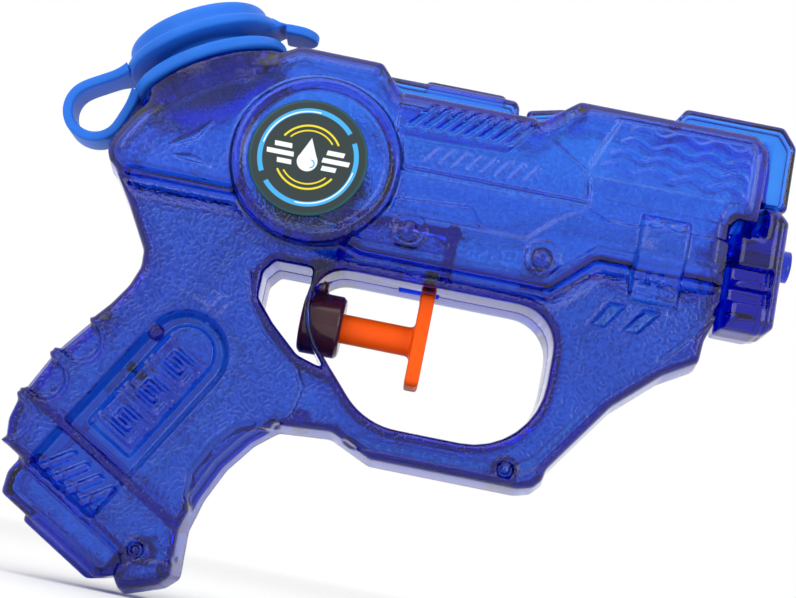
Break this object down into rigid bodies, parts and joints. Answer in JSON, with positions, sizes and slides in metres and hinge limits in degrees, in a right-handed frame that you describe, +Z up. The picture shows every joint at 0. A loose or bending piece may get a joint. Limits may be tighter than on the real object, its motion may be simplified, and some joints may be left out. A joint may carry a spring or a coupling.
{
  "type": "water squirter",
  "caption": "See-through toy water pistol with a sliding trigger pump, ball valves, hoses to the jet, and a push-in filler cap on a strap.",
  "frame": {"origin": "centre of the jet outlet's face", "axes": "+X the way the water leaves, +Z up, -Y the right side as it is held"},
  "size_m": [0.1577, 0.0342, 0.1267],
  "materials": {
    "shell": "clear tinted, fine texture",
    "cap": "soft satin",
    "trigger": "satin",
    "hose": "clear",
    "fitting": "plain",
    "seal": "matte",
    "steel": "bright",
    "badge": "printed film"
  },
  "bodies": {
    "casing": {"right_shell": "shell", "left_shell": "shell", "muzzle_block": "shell", "nozzle_jet": "fitting", "outlet_hose": "hose", "valve_block": "fitting", "inlet_fitting": "fitting", "inlet_ball": "steel", "outlet_fitting": "fitting", "outlet_ball": "steel", "suction_hose": "hose", "strainer": "fitting", "pump_barrel": "shell", "pump_gland": "fitting", "return_spring": "steel", "filler_neck": "shell", "cap_ring": "cap", "cap_strap": "cap", "right_badge": "badge", "left_badge": "badge"},
    "trigger_group": {"trigger": "trigger", "piston_seal": "seal"},
    "cap_group": {"filler_cap": "cap"}
  },
  "joints": [
    {"name": "trigger_slide", "type": "slide", "parent": "casing", "child": "trigger_group", "axis": [-1, 0, 0], "range_m": [0, 0.0042], "stiffness_N_per_m": 400, "springref_m": -0.003, "deforming": ["return_spring"]},
    {"name": "cap_lift", "type": "slide", "parent": "casing", "child": "cap_group", "axis": [-0.5, 0, 0.866], "range_m": [-0.0026, 0.024], "deforming": ["cap_strap"]}
  ]
}
